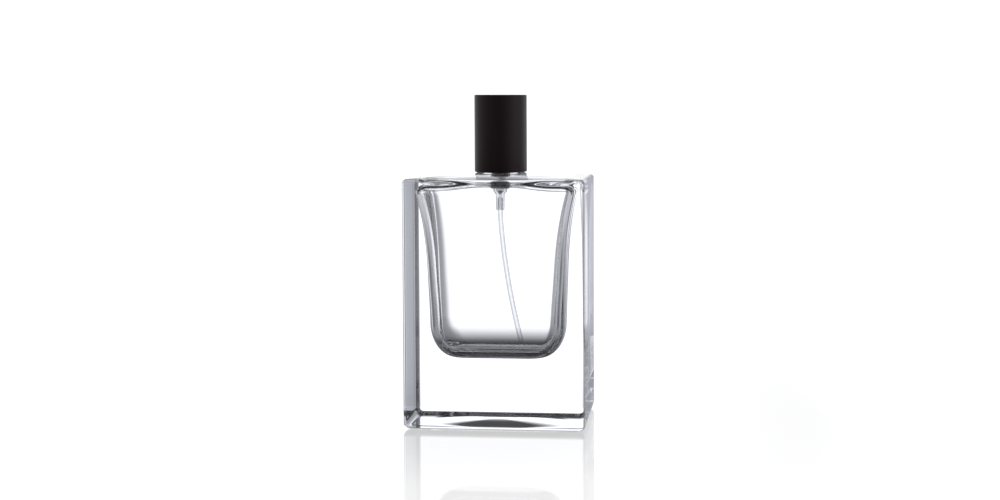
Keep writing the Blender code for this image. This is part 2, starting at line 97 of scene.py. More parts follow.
def lathe_mesh(name, profile, steps=96, closed=True):
    """Turns a profile (mm) about Z. A closed profile makes a ring, an open one starts and ends on the axis."""
    profile = supported(profile, closed)
    bm = bmesh.new()
    rows = []
    for r, z in profile:
        if r < 1e-6:
            rows.append([bm.verts.new((0, 0, z * MM))])
        else:
            rows.append([bm.verts.new((r * MM * math.cos(math.tau * k / steps), r * MM * math.sin(math.tau * k / steps), z * MM))
                         for k in range(steps)])
    pairs = list(zip(rows, rows[1:])) + ([(rows[-1], rows[0])] if closed else [])
    for a, b in pairs:
        for k in range(steps):
            j = (k + 1) % steps
            if len(a) == 1:
                bm.faces.new((a[0], b[j], b[k]))
            elif len(b) == 1:
                bm.faces.new((a[k], a[j], b[0]))
            else:
                bm.faces.new((a[k], a[j], b[j], b[k]))
    bmesh.ops.recalc_face_normals(bm, faces=bm.faces)
    mesh = bpy.data.meshes.new(name)
    bm.to_mesh(mesh)
    bm.free()
    mesh.shade_smooth()
    mesh.set_sharp_from_angle(angle=math.radians(50))
    return mesh


def piece(name, mesh, mat, body, stands_for):
    obj = bpy.data.objects.new(name, mesh)
    bpy.context.scene.collection.objects.link(obj)
    mesh.materials.clear()
    mesh.materials.append(mat)
    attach(obj, body)
    if stands_for:
        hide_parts(*([stands_for] if isinstance(stands_for, str) else stands_for))
    return obj


# ================================================================ materials
def shader(name):
    mat = bpy.data.materials.new(name)
    mat.use_nodes = True
    nt = mat.node_tree
    return mat, nt, nt.nodes["Principled BSDF"]


def node(nt, kind, **values):
    n = nt.nodes.new(kind)
    for k, v in values.items():
        if hasattr(n, k) and k not in n.inputs:
            setattr(n, k, v)
        else:
            n.inputs[k].default_value = v
    return n


def math_node(nt, op, a, b=None, clamp=False):
    n = nt.nodes.new("ShaderNodeMath")
    n.operation = op
    n.use_clamp = clamp
    for i, v in enumerate((a, b)):
        if v is None:
            continue
        if isinstance(v, (int, float)):
            n.inputs[i].default_value = v
        else:
            nt.links.new(v, n.inputs[i])
    return n.outputs[0]


def ramp(nt, fac, stops, interpolation="LINEAR"):
    n = nt.nodes.new("ShaderNodeValToRGB")
    n.color_ramp.interpolation = interpolation
    while len(n.color_ramp.elements) > 1:
        n.color_ramp.elements.remove(n.color_ramp.elements[-1])
    first = True
    for pos, col in stops:
        if isinstance(col, (int, float)):
            col = (col, col, col)
        e = n.color_ramp.elements[0] if first else n.color_ramp.elements.new(pos)
        e.position = pos
        e.color = (*col, 1)
        first = False
    nt.links.new(fac, n.inputs[0])
    return n.outputs[0]


def glass_material():
    """Clear flint glass, fire polished, with the faint waviness of a moulded flacon."""
    mat, nt, bsdf = shader("clear_glass_polished")
    bsdf.inputs["Base Color"].default_value = (1, 1, 1, 1)
    bsdf.inputs["Roughness"].default_value = 0.0
    bsdf.inputs["IOR"].default_value = 1.52
    bsdf.inputs["Transmission Weight"].default_value = 1.0
    tex = node(nt, "ShaderNodeTexCoord")
    noise = node(nt, "ShaderNodeTexNoise", **{"Scale": 90.0, "Detail": 1.0, "Roughness": 0.4})
    nt.links.new(tex.outputs["Object"], noise.inputs["Vector"])
    bump = node(nt, "ShaderNodeBump", **{"Strength": 0.02, "Distance": 0.0005})
    nt.links.new(noise.outputs["Fac"], bump.inputs["Height"])
    nt.links.new(bump.outputs["Normal"], bsdf.inputs["Normal"])
    vol = node(nt, "ShaderNodeVolumeAbsorption", **{"Color": (0.94, 0.945, 0.97, 1), "Density": 3.0})
    nt.links.new(vol.outputs[0], nt.nodes["Material Output"].inputs["Volume"])
    return mat


def coords(nt, scale=(1.0, 1.0, 1.0)):
    """Object coordinates (metres) multiplied by scale."""
    tex = nt.nodes.new("ShaderNodeTexCoord")
    m = nt.nodes.new("ShaderNodeMapping")
    m.inputs["Scale"].default_value = scale
    nt.links.new(tex.outputs["Object"], m.inputs["Vector"])
    return m.outputs[0]


def noise(nt, vector, scale=1.0, detail=3.0, rough=0.55):
    n = node(nt, "ShaderNodeTexNoise", **{"Scale": scale, "Detail": detail, "Roughness": rough})
    nt.links.new(vector, n.inputs["Vector"])
    return n.outputs["Fac"]


def surface(name, light, dark, rough, grain, lines, depth, metallic=0.0, **extra):
    """A finish in two tones. grain: scale of its mottling per axis. lines: scale of its fine relief per axis.
    depth: height of the relief in metres. rough: (smoothest, roughest)."""
    mat, nt, bsdf = shader(name)
    patch = noise(nt, coords(nt, grain), 1.0, 4.0)
    nt.links.new(ramp(nt, patch, ((0.32, dark), (0.68, light))), bsdf.inputs["Base Color"])
    fine = noise(nt, coords(nt, lines), 1.0, 2.0, 0.6)
    span = nt.nodes.new("ShaderNodeMapRange")
    span.inputs["From Min"].default_value, span.inputs["From Max"].default_value = 0.3, 0.7
    span.inputs["To Min"].default_value, span.inputs["To Max"].default_value = rough
    nt.links.new(math_node(nt, "ADD", math_node(nt, "MULTIPLY", patch, 0.5), math_node(nt, "MULTIPLY", fine, 0.5)), span.inputs["Value"])
    nt.links.new(span.outputs[0], bsdf.inputs["Roughness"])
    bump = node(nt, "ShaderNodeBump", **{"Strength": 1.0, "Distance": depth})
    nt.links.new(fine, bump.inputs["Height"])
    nt.links.new(bump.outputs["Normal"], bsdf.inputs["Normal"])
    bsdf.inputs["Metallic"].default_value = metallic
    for k, v in extra.items():
        bsdf.inputs[k.replace("_", " ")].default_value = v
    return mat


def tube_material():
    """Clear extruded tube: almost invisible face on, grey along its edges, with faint draw lines."""
    mat, nt, bsdf = shader("dip_tube_clear_pe")
    out = nt.nodes["Material Output"]
    lines = noise(nt, coords(nt, (2600.0, 2600.0, 30.0)), 1.0, 2.0)
    bump = node(nt, "ShaderNodeBump", **{"Strength": 0.6, "Distance": 0.00002})
    nt.links.new(lines, bump.inputs["Height"])
    bsdf.inputs["Base Color"].default_value = (0.34, 0.33, 0.325, 1)
    bsdf.inputs["Roughness"].default_value = 0.28
    nt.links.new(bump.outputs["Normal"], bsdf.inputs["Normal"])
    clear = node(nt, "ShaderNodeBsdfTransparent", **{"Color": (0.975, 0.98, 0.985, 1)})
    edge = nt.nodes.new("ShaderNodeLayerWeight")
    edge.inputs["Blend"].default_value = 0.5
    nt.links.new(bump.outputs["Normal"], edge.inputs["Normal"])
    mix = nt.nodes.new("ShaderNodeMixShader")
    nt.links.new(ramp(nt, math_node(nt, "MULTIPLY", edge.outputs["Facing"], math_node(nt, "ADD", 0.85, math_node(nt, "MULTIPLY", lines, 0.3))),
                      ((0.0, 0.02), (0.34, 0.05), (0.5, 0.45), (0.7, 0.85), (1.0, 0.9))), mix.inputs[0])
    nt.links.new(clear.outputs[0], mix.inputs[1])
    nt.links.new(bsdf.outputs[0], mix.inputs[2])
    nt.links.new(mix.outputs[0], out.inputs["Surface"])
    return mat


def natural_material(name, tint, veil, painted_shade_top=0.0):
    """Uncoloured moulded plastic: part of it lets the light straight through, the rest is a milky gloss.
    Its last argument sets painted shade: how much darker and less clear the plastic gets upwards."""
    mat, nt, bsdf = shader(name)
    out = nt.nodes["Material Output"]
    cloud = noise(nt, coords(nt, (240.0, 240.0, 160.0)), 1.0, 4.0)
    skin = noise(nt, coords(nt, (2200.0, 2200.0, 2200.0)), 1.0, 2.0)
    where = nt.nodes.new("ShaderNodeNewGeometry")
    part = nt.nodes.new("ShaderNodeSeparateXYZ")
    nt.links.new(where.outputs["Position"], part.inputs[0])
    # painted shade: the plastic turns darker and less clear towards the top, from 76.5 to 83.5 mm
    painted_shade_rise = nt.nodes.new("ShaderNodeMapRange")
    painted_shade_rise.interpolation_type = "SMOOTHSTEP"
    painted_shade_rise.inputs["From Min"].default_value, painted_shade_rise.inputs["From Max"].default_value = 0.0765, 0.0835
    painted_shade_rise.inputs["To Min"].default_value, painted_shade_rise.inputs["To Max"].default_value = 0.0, painted_shade_top
    nt.links.new(part.outputs["Z"], painted_shade_rise.inputs["Value"])
    tone = nt.nodes.new("ShaderNodeMix")
    tone.data_type = "RGBA"
    nt.links.new(painted_shade_rise.outputs[0], tone.inputs[0])
    nt.links.new(ramp(nt, cloud, ((0.3, tuple(c * 0.93 for c in tint)), (0.7, tint))), tone.inputs[6])
    # the dark colour of the painted shade
    tone.inputs[7].default_value = (0.030, 0.026, 0.026, 1)
    nt.links.new(tone.outputs[2], bsdf.inputs["Base Color"])
    bump = node(nt, "ShaderNodeBump", **{"Strength": 0.5, "Distance": 0.00003})
    nt.links.new(skin, bump.inputs["Height"])
    nt.links.new(bump.outputs["Normal"], bsdf.inputs["Normal"])
    bsdf.inputs["Roughness"].default_value = 0.28
    bsdf.inputs["Transmission Weight"].default_value = 0.25
    bsdf.inputs["IOR"].default_value = 1.3
    clear = node(nt, "ShaderNodeBsdfTransparent", **{"Color": (0.93, 0.935, 0.935, 1)})
    edge = nt.nodes.new("ShaderNodeLayerWeight")
    edge.inputs["Blend"].default_value = 0.4
    mix = nt.nodes.new("ShaderNodeMixShader")
    rim = ramp(nt, edge.outputs["Facing"], ((0.0, 0.02), (0.35, 0.10), (0.6, 0.55), (1.0, 0.8)))
    amount = math_node(nt, "ADD", math_node(nt, "ADD", rim, math_node(nt, "MULTIPLY", painted_shade_rise.outputs[0], 0.55)),
                       math_node(nt, "MULTIPLY", cloud, veil), clamp=True)
    nt.links.new(amount, mix.inputs[0])
    nt.links.new(clear.outputs[0], mix.inputs[1])
    nt.links.new(bsdf.outputs[0], mix.inputs[2])
    nt.links.new(mix.outputs[0], out.inputs["Surface"])
    return mat


GLASS = glass_material()
BLACK = surface("cap_soft_black", (0.0085, 0.0048, 0.0058), (0.0058, 0.0032, 0.0040), (0.36, 0.50), (160.0, 160.0, 90.0),
                (3800.0, 3800.0, 3800.0), 0.000008, 0.0, Specular_IOR_Level=0.30, Specular_Tint=(0.92, 0.75, 0.79, 1.0))
GUNMETAL = surface("gunmetal_anodised", (0.345, 0.318, 0.335), (0.275, 0.262, 0.285), (0.12, 0.22), (60.0, 60.0, 260.0),
                   (90.0, 90.0, 9000.0), 0.0000018, 1.0)
ALU = surface("ferrule_mill_aluminium", (0.80, 0.80, 0.81), (0.66, 0.66, 0.67), (0.22, 0.38), (120.0, 120.0, 500.0),
              (60.0, 60.0, 7000.0), 0.000004, 1.0)
WHITE = surface("pom_white", (0.86, 0.86, 0.84), (0.80, 0.80, 0.775), (0.30, 0.44), (300.0, 300.0, 200.0),
                (2600.0, 2600.0, 2600.0), 0.00001)
CORE = surface("core_charcoal_pp", (0.062, 0.060, 0.064), (0.044, 0.043, 0.047), (0.34, 0.52), (260.0, 260.0, 180.0),
               (3000.0, 3000.0, 3000.0), 0.000012)
NOZZLE = surface("nozzle_grey_acetal", (0.105, 0.098, 0.092), (0.075, 0.070, 0.068), (0.30, 0.46), (400.0, 400.0, 400.0),
                 (2800.0, 5200.0, 2800.0), 0.00001)
STEEL = surface("spring_wire_drawn", (0.66, 0.65, 0.64), (0.50, 0.50, 0.49), (0.16, 0.34), (900.0, 900.0, 900.0),
                (5200.0, 5200.0, 700.0), 0.000004, 1.0)
BALL = surface("valve_ball_ground", (0.70, 0.70, 0.69), (0.60, 0.60, 0.59), (0.08, 0.16), (1500.0, 1500.0, 1500.0),
               (9000.0, 9000.0, 9000.0), 0.000001, 1.0)
RUBBER = surface("gasket_elastomer", (0.60, 0.60, 0.58), (0.47, 0.47, 0.45), (0.55, 0.75), (700.0, 700.0, 700.0),
                 (4200.0, 4200.0, 4200.0), 0.00002)
LINER = surface("liner_black_pp", (0.022, 0.021, 0.022), (0.015, 0.014, 0.015), (0.40, 0.58), (220.0, 220.0, 160.0),
                (2400.0, 2400.0, 2400.0), 0.00001)
TUBE = tube_material()
# the housing gets painted shade towards its top (last argument)
NATURAL = natural_material("housing_natural_pp", (0.60, 0.575, 0.555), 0.22, 0.85)
PISTON = natural_material("piston_natural_pe", (0.86, 0.87, 0.87), 0.9)


# ================================================================ glass
BODY_W, BODY_D, BODY_H = 60.5, 33.0, 83.0
EDGE_R = 1.7
BASE_EDGE_R, TOP_EDGE_R = 2.0, 1.6
PUNT_A, PUNT_B, PUNT_H = 24.0, 10.8, 1.3
FLOOR_Z = 22.4
NECK_R, BORE_R = 5.9, 4.7
RING_R, RIM_Z = 7.4, 92.2

PER_SIDE, PER_CORNER = (36, 18), 18
QUAD = 2 * (PER_SIDE[0] + PER_SIDE[1]) + 4 * PER_CORNER


def rounded_rect(a, b, r, z):
    """A ring of points round a rectangle of half sides a, b and corner radius r, from the middle of +X."""
    r = max(min(r, a - 0.01, b - 0.01), 0.01)
    nx, ny = PER_SIDE
    ring = []
    for cx, cy, start, (x0, y0), (x1, y1), n in (
        (1, 1, 0, (a, -(b - r)), (a, b - r), ny),
        (-1, 1, 90, (a - r, b), (-(a - r), b), nx),
        (-1, -1, 180, (-a, b - r), (-a, -(b - r)), ny),
        (1, -1, 270, (-(a - r), -b), (a - r, -b), nx),
    ):
        for i in range(n):
            t = i / n
            ring.append((x0 + (x1 - x0) * t, y0 + (y1 - y0) * t, z))
        for i in range(PER_CORNER):
            ang = math.radians(start + 90 * i / PER_CORNER)
            ring.append((cx * (a - r) + r * math.cos(ang), cy * (b - r) + r * math.sin(ang), z))
    return ring


def circle_like(template, radius, z):
    n = len(template)
    out = [math.atan2(p[1], p[0]) for p in template]
    ring = []
    for i, real in enumerate(out):
        ev = out[0] + math.tau * i / n
        d = (real - ev + math.pi) % math.tau - math.pi
        ring.append((radius * math.cos(ev + 0.25 * d), radius * math.sin(ev + 0.25 * d), z))
    return ring


def mix_rings(a, b, t, z):
    return [(p[0] + (q[0] - p[0]) * t, p[1] + (q[1] - p[1]) * t, z) for p, q in zip(a, b)]


def spline_table(table, z):
    """Reads (z, value) pairs through a smooth monotone curve (Catmull-Rom on uneven steps)."""
    zs = [p[0] for p in table]
    vs = [p[1] for p in table]
    if z <= zs[0]:
        return vs[0]
    if z >= zs[-1]:
        return vs[-1]
    i = max(k for k in range(len(zs) - 1) if zs[k] <= z)

    def slope(k):
        if k == 0:
            return (vs[1] - vs[0]) / (zs[1] - zs[0])
        if k == len(zs) - 1:
            return (vs[-1] - vs[-2]) / (zs[-1] - zs[-2])
        return ((vs[k] - vs[k - 1]) / (zs[k] - zs[k - 1]) + (vs[k + 1] - vs[k]) / (zs[k + 1] - zs[k])) / 2

    h = zs[i + 1] - zs[i]
    t = (z - zs[i]) / h
    m0, m1 = slope(i) * h, slope(i + 1) * h
    return ((2 * t ** 3 - 3 * t ** 2 + 1) * vs[i] + (t ** 3 - 2 * t ** 2 + t) * m0
            + (-2 * t ** 3 + 3 * t ** 2) * vs[i + 1] + (t ** 3 - t ** 2) * m1)


# hollow: half width and half depth, and how far its side walls bow in plan (degrees at the corner)
HOLLOW_A = ((FLOOR_Z, 23.0), (36.0, 23.2), (47.0, 23.6), (59.0, 24.1), (68.0, 25.0), (74.0, 26.0), (80.0, 27.2))
HOLLOW_B = ((FLOOR_Z, 9.9), (36.0, 10.1), (52.0, 10.5), (66.0, 11.1), (80.0, 12.2))
HOLLOW_BOW = ((FLOOR_Z, 24.0), (36.0, 22.0), (48.0, 16.0), (58.0, 12.0), (68.0, 8.0), (80.0, 3.0))
HOLLOW_R = ((FLOOR_Z, 5.0), (48.0, 4.4), (80.0, 3.4))


def hollow_ring(a, b, r, bow, z):
    """A ring of the hollow: bowed side walls that meet flat front and back walls through corners of radius r."""
    nx, ny = PER_SIDE
    sb = math.sin(math.radians(bow))
    r = min(r, b * 0.9)
    big = (b - r * (1 - sb)) / max(sb, 1e-4)
    cx, cy = a - big + (big - r) * math.cos(math.radians(bow)), (big - r) * sb       # corner centre in the first quadrant
    ring = []

    def side(sign):
        out = []
        for i in range(ny):
            ang = math.radians(bow) * (2 * i / ny - 1)
            out.append((sign * (a - big + big * math.cos(ang)), sign * big * math.sin(ang), z))
        return out

    def corner(sx, sy, a0, a1):
        out = []
        for i in range(PER_CORNER):
            ang = math.radians(a0 + (a1 - a0) * i / PER_CORNER)
            out.append((sx * cx + r * math.cos(ang), sy * cy + r * math.sin(ang), z))
        return out

    ring += side(1)
    ring += corner(1, 1, bow, 90)
    ring += [(cx - 2 * cx * i / nx, b, z) for i in range(nx)]
    ring += corner(-1, 1, 90, 180 - bow)
    ring += side(-1)
    ring += corner(-1, -1, 180 + bow, 270)
    ring += [(-cx + 2 * cx * i / nx, -b, z) for i in range(nx)]
    ring += corner(1, -1, 270, 360 - bow)
    return ring


def hollow_at(z, inset_a=0.0, inset_b=0.0, height=None):
    return hollow_ring(spline_table(HOLLOW_A, z) - inset_a, spline_table(HOLLOW_B, z) - inset_b,
                       spline_table(HOLLOW_R, z), spline_table(HOLLOW_BOW, z), z if height is None else height)


def arched(ring, rise):
    """Lifts a ring of the hollow in the middle of its length, under the neck."""
    out = []
    for x, y, z in ring:
        t = max(0.0, min(1.0, (abs(x) - ARCH_FLAT) / (ARCH_END - ARCH_FLAT)))
        out.append((x, y, z + rise * (0.5 + 0.5 * math.cos(math.pi * t))))
    return out


ARCH, ARCH_FLAT, ARCH_END = 1.35, 4.0, 19.5
NECK_PROFILE = ((9.2, 84.0), (8.2, 84.25), (7.2, 84.8), (6.4, 85.7), (5.98, 86.8), (NECK_R, 87.7), (6.3, 88.45),
                (7.2, 88.75), (RING_R, 89.2), (RING_R, 91.0), (7.15, 91.5), (6.5, 91.95), (5.9, RIM_Z),
                (5.3, RIM_Z), (4.9, 91.95), (BORE_R, 91.5), (BORE_R, 85.5), (4.85, 84.2), (5.3, 83.3), (6.2, 82.5))


def smooth_curve(points, sub=5):
    """A centripetal curve through (r, z) points."""
    out = []
    n = len(points)
    for i in range(n - 1):
        p0 = points[max(i - 1, 0)]
        p1, p2 = points[i], points[i + 1]
        p3 = points[min(i + 2, n - 1)]
        for k in range(sub):
            t = k / sub
            q = []
            for c in range(2):
                q.append(0.5 * (2 * p1[c] + (p2[c] - p0[c]) * t + (2 * p0[c] - 5 * p1[c] + 4 * p2[c] - p3[c]) * t * t
                                + (3 * p1[c] - p0[c] - 3 * p2[c] + p3[c]) * t ** 3))
            out.append(tuple(q))
    out.append(points[-1])
    return out


def glass_rings():
    rings = []
    hw, hd = BODY_W / 2, BODY_D / 2
    base = rounded_rect(hw, hd, EDGE_R, 0)
    for i in range(1, 15):                                        # hollow under the base
        t = i / 15
        z = PUNT_H * math.cos(t * math.pi / 2) ** 1.2
        rings.append(rounded_rect(PUNT_A * t, PUNT_B * t, PUNT_B * 0.7 * t, z))
    rings.append(rounded_rect(PUNT_A, PUNT_B, PUNT_B * 0.7, 0.0))
    rings.append(rounded_rect(PUNT_A + 0.15, PUNT_B + 0.15, PUNT_B * 0.7, 0.0))
    rings.append(rounded_rect(hw - BASE_EDGE_R - 0.1, hd - BASE_EDGE_R - 0.1, 0.45, 0.0))
    for i in range(0, 11):                                        # bottom edge
        s, c = math.sin(i / 10 * math.pi / 2), math.cos(i / 10 * math.pi / 2)
        inset = BASE_EDGE_R * (1 - s)
        rings.append(rounded_rect(hw - inset, hd - inset, max(0.5, EDGE_R - inset * 0.4), BASE_EDGE_R * (1 - c)))
    for z in (2.2, 20.0, 45.0, 70.0, BODY_H - TOP_EDGE_R - 0.2):
        rings.append(rounded_rect(hw, hd, EDGE_R, z))
    for i in range(0, 11):                                        # top edge
        s, c = math.sin(i / 10 * math.pi / 2), math.cos(i / 10 * math.pi / 2)
        inset = TOP_EDGE_R * (1 - c)
        rings.append(rounded_rect(hw - inset, hd - inset, max(0.5, EDGE_R - inset * 0.4), BODY_H - TOP_EDGE_R * (1 - s)))
    shoulder = rings[-1]
    flare = circle_like(base, 9.2, 0)
    for i in range(1, 16):                                        # crowned shoulder
        t = i / 16
        rings.append(mix_rings(shoulder, flare, t, BODY_H + 1.0 * math.sin(t * math.pi / 2)))
    for r, z in smooth_curve(NECK_PROFILE, 5):
        rings.append(circle_like(base, r, z))
    ceiling = circle_like(base, 6.2, 0)
    top_z, top_r = 78.2, 2.6                                      # where the walls turn into the ceiling
    wide = hollow_at(top_z, top_r, top_r, 0)
    for i in range(1, 21):
        t = i / 21
        rings.append(arched(mix_rings(ceiling, wide, t, 82.3 - (82.3 - top_z - top_r) * t ** 1.3), ARCH * t))
    for i in range(0, 8):
        ang = i / 7 * math.pi / 2
        inset = top_r * (1 - math.sin(ang))
        rings.append(arched(hollow_at(top_z, inset, inset, top_z + top_r * math.cos(ang)), ARCH))
    z = top_z - 0.8
    side_h, side_v, face_h, face_v = 8.6, 11.5, 5.6, 7.4         # elliptic corners between the walls and the floor

    def corner_inset(height, h, v):
        drop = max(0.0, min(1.0, (FLOOR_Z + v - height) / v))
        return h * (1 - math.sqrt(max(0.0, 1 - drop * drop)))

    while z > FLOOR_Z + side_v + 0.3:
        rings.append(arched(hollow_at(z), ARCH * max(0.0, 1 - (top_z - z) / 14.0) ** 2))
        z -= 1.2
    for i in range(0, 32):
        z = FLOOR_Z + side_v * (1 - math.sin(math.radians(89.4 * i / 31)))
        rings.append(hollow_at(z, corner_inset(z, side_h, side_v), corner_inset(z, face_h, face_v)))
    last = rings[-1]
    for t in (0.75, 0.5, 0.25):
        rings.append([(x * t, y * t, FLOOR_Z) for x, y, _ in last])
    return rings


def glass_mesh():
    rings = glass_rings()
    n = len(rings[0])
    bm = bmesh.new()
    loops = [[bm.verts.new([c * MM for c in p]) for p in ring] for ring in rings]
    for low, high in zip(loops, loops[1:]):
        for i in range(n):
            j = (i + 1) % n
            bm.faces.new((low[i], low[j], high[j], high[i]))
    for ring, z, flip in ((loops[0], PUNT_H, True), (loops[-1], FLOOR_Z, False)):
        hub = bm.verts.new((0, 0, z * MM))
        for i in range(n):
            j = (i + 1) % n
            bm.faces.new((ring[j], ring[i], hub) if flip else (ring[i], ring[j], hub))
    bmesh.ops.recalc_face_normals(bm, faces=bm.faces)
    mesh = bpy.data.meshes.new("flacon_glass")
    bm.to_mesh(mesh)
    bm.free()
    mesh.shade_smooth()
    return mesh


flacon = piece("flacon_glass", glass_mesh(), GLASS, "bottle", "glass_bottle")

# ================================================================ neck, collar and closure
COLLAR_R, COLLAR_Z0, COLLAR_Z1 = 7.95, 88.0, 94.5
TURRET_R, TURRET_Z = 3.7, 100.0
ACT_R, ACT_Z0, ACT_Z1 = 6.4, 98.4, 109.0
NOZZLE_Z, NOZZLE_R = 105.9, 1.65
CAP_R, CAP_Z0, CAP_Z1 = 8.82, 84.6, 110.6


def round_piece(name, profile, mat, body, stands_for, steps=96, closed=True, per_arc=5):
    return piece(name, lathe_mesh(name, arc_profile(profile, per_arc), steps, closed), mat, body, stands_for)


round_piece("gasket_ring", ((6.5, 92.65, 0.1), (6.5, 92.25, 0.1), (4.9, 92.25, 0.1), (4.9, 92.65, 0.1)),
            RUBBER, "bottle", "neck_gasket")

# the skirt of the ferrule, pleated a little where it is rolled in under the neck ring
ferrule = lathe_mesh("ferrule_skirt", arc_profile((
    (7.6, 94.2, 0.14), (7.68, 93.8, 0.3), (7.68, 88.3, 0.35), (7.3, 88.02, 0.12), (6.6, 88.02, 0.06), (6.6, 88.2, 0.06),
    (7.3, 88.3, 0.2), (7.45, 88.7, 0.2), (7.45, 93.92, 0.08), (3.46, 93.92, 0.05), (3.46, 94.2, 0.05))), 192)
for v in ferrule.vertices:
    z = v.co.z / MM
    if z < 88.7:
        r = v.co.xy.length / MM
        ang = math.atan2(v.co.y, v.co.x)
        pleat = 0.03 * math.cos(12 * ang) * min(1.0, (88.7 - z) / 0.5)
        if 6.7 < r < 7.66:
            v.co.x *= 1 + pleat / r
            v.co.y *= 1 + pleat / r
piece("ferrule_skirt", ferrule, ALU, "bottle", "crimp_ferrule")

round_piece("collar_shell", (
    (3.44, TURRET_Z, 0.06), (TURRET_R, TURRET_Z, 0.1), (TURRET_R, 95.0, 0.32), (4.4, 94.9, 0.16), (4.46, COLLAR_Z1, 0.1),
    (COLLAR_R, COLLAR_Z1, 0.26), (COLLAR_R, COLLAR_Z0, 0.14), (7.71, COLLAR_Z0, 0.05), (7.71, 94.24, 0.08),
    (3.44, 94.24, 0.05)), GUNMETAL, "bottle", "outer_collar", 160, per_arc=6)

round_piece("closure_plug", (
    (2.9, 97.3, 0.12), (3.38, 96.9, 0.2), (3.38, 93.87, 0.1), (6.9, 93.87, 0.15), (6.9, 93.4, 0.08), (2.55, 93.4, 0.05),
    (2.55, 96.5, 0.05), (1.6, 96.5, 0.04), (1.6, 97.3, 0.08)), WHITE, "bottle", "pump_closure")

# ================================================================ pump inside the glass
round_piece("housing_barrel", (
    (6.9, 93.34, 0.1), (6.9, 92.72, 0.1), (4.3, 92.72, 0.3), (3.4, 92.2, 0.4), (3.3, 91.6, 0.3), (3.3, 86.6, 0.08), (3.2, 86.5, 0.06),
    (3.2, 86.2, 0.06), (3.3, 86.1, 0.08), (3.3, 80.2, 0.45), (2.3, 79.0, 0.35), (2.3, 77.6, 0.35), (1.5, 76.4, 0.5), (1.42, 71.2, 0.12),
    (0.86, 71.2, 0.06), (0.86, 75.2, 0.05), (0.5, 75.3, 0.03), (0.5, 76.6, 0.1), (1.25, 77.6, 0.2), (1.25, 79.9, 0.08),
    (2.5, 79.9, 0.12), (2.5, 93.34, 0.06)), NATURAL, "bottle", "pump_housing")


def swept(name, path, radius, sides, wall=0.0):
    """A wire with rounded-off ends, or a tube with open ends, along path (mm), framed by parallel transport."""
    pts = [Vector(p) for p in path]
    tang = [((pts[min(i + 1, len(pts) - 1)] - pts[max(i - 1, 0)]).normalized()) for i in range(len(pts))]
    nrm = tang[0].orthogonal().normalized()
    bm = bmesh.new()

    def ring(c, t, n, r):
        b = t.cross(n)
        return [bm.verts.new((c + (n * math.cos(math.tau * k / sides) + b * math.sin(math.tau * k / sides)) * r) * MM)
                for k in range(sides)]

    def bridge(p, q):
        for k in range(sides):
            m = (k + 1) % sides
            bm.faces.new((p[k], p[m], q[m], q[k]))

    frames = []
    for i, c in enumerate(pts):
        nrm = (nrm - tang[i] * nrm.dot(tang[i])).normalized()
        frames.append((c, tang[i], nrm.copy()))
    outer = [ring(c, t, n, radius) for c, t, n in frames]
    for p, q in zip(outer, outer[1:]):
        bridge(p, q)
    if wall:
        inner = [ring(c, t, n, radius - wall) for c, t, n in frames]
        for p, q in zip(inner, inner[1:]):
            bridge(q, p)
        bridge(inner[0], outer[0])
        bridge(outer[-1], inner[-1])
    else:
        for rows, (c, t, n), sign in ((outer[0], frames[0], -1), (outer[-1], frames[-1], 1)):
            prev = rows
            for a in (30, 60):
                cur = ring(c + t * (sign * radius * 0.5 * math.sin(math.radians(a))), t, n, radius * math.cos(math.radians(a)))
                bridge(prev, cur)
                prev = cur
            bm.faces.new(prev)
    bmesh.ops.recalc_face_normals(bm, faces=bm.faces)
    mesh = bpy.data.meshes.new(name)
    bm.to_mesh(mesh)
    bm.free()
    mesh.shade_smooth()
    mesh.set_sharp_from_angle(angle=math.radians(60))
    return mesh


def dip_path():
    """Straight out of the socket, then an easy bow that comes to rest near the floor."""
    x1, y1, z1 = TUBE_END
    pts = [(0, 0, TUBE_TOP), (0, 0, 73.0), (0, 0, 71.0)]
    for i in range(1, 15):
        t = i / 14
        bow = 0.42 * t + 0.58 * t * t
        pts.append((x1 * bow, y1 * bow, 70.0 + (z1 - 70.0) * t))
    fine = []                                                     # Catmull-Rom through the same points
    for i in range(len(pts) - 1):
        p0, p1, p2, p3 = (Vector(pts[max(i - 1, 0)]), Vector(pts[i]), Vector(pts[i + 1]), Vector(pts[min(i + 2, len(pts) - 1)]))
        for k in range(4):
            t = k / 4
            fine.append(0.5 * (2 * p1 + (p2 - p0) * t + (2 * p0 - 5 * p1 + 4 * p2 - p3) * t * t + (3 * p1 - p0 - 3 * p2 + p3) * t ** 3))
    fine.append(Vector(pts[-1]))
    return fine


TUBE_R, TUBE_WALL, TUBE_TOP, TUBE_END = 0.8, 0.3, 75.0, (7.6, 0.8, 24.3)
piece("dip_tube_clear", swept("dip_tube_clear", dip_path(), TUBE_R, 32, TUBE_WALL), TUBE, "bottle", "dip_tube")


def coil_path(mean_r, wire_r, z0, z1, turns, per_turn):
    """A compression spring with one flat turn at each end."""
    flat = 2 * wire_r + 0.06
    low, high = z0 + wire_r, z1 - wire_r
    pts = []
    for i in range(int(turns * per_turn) + 1):
        t = i / per_turn
        if t <= 1:
            z = low + flat * t
        elif t >= turns - 1:
            z = high - flat * (turns - t)
        else:
            z = low + flat + (high - low - 2 * flat) * (t - 1) / (turns - 2)
        a = math.tau * t
        pts.append((mean_r * math.cos(a), mean_r * math.sin(a), z))
    return pts


spring = piece("return_spring_coil", swept("return_spring_coil", coil_path(1.95, 0.2, 80.0, 88.4, 8, 40), 0.2, 12),
               STEEL, "bottle", "return_spring")
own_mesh(spring)
spring = piece("precompression_coil", swept("precompression_coil", coil_path(2.08, 0.14, 91.5, 94.98, 6, 40), 0.14, 10),
               STEEL, "stem", "precompression_spring")
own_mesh(spring)

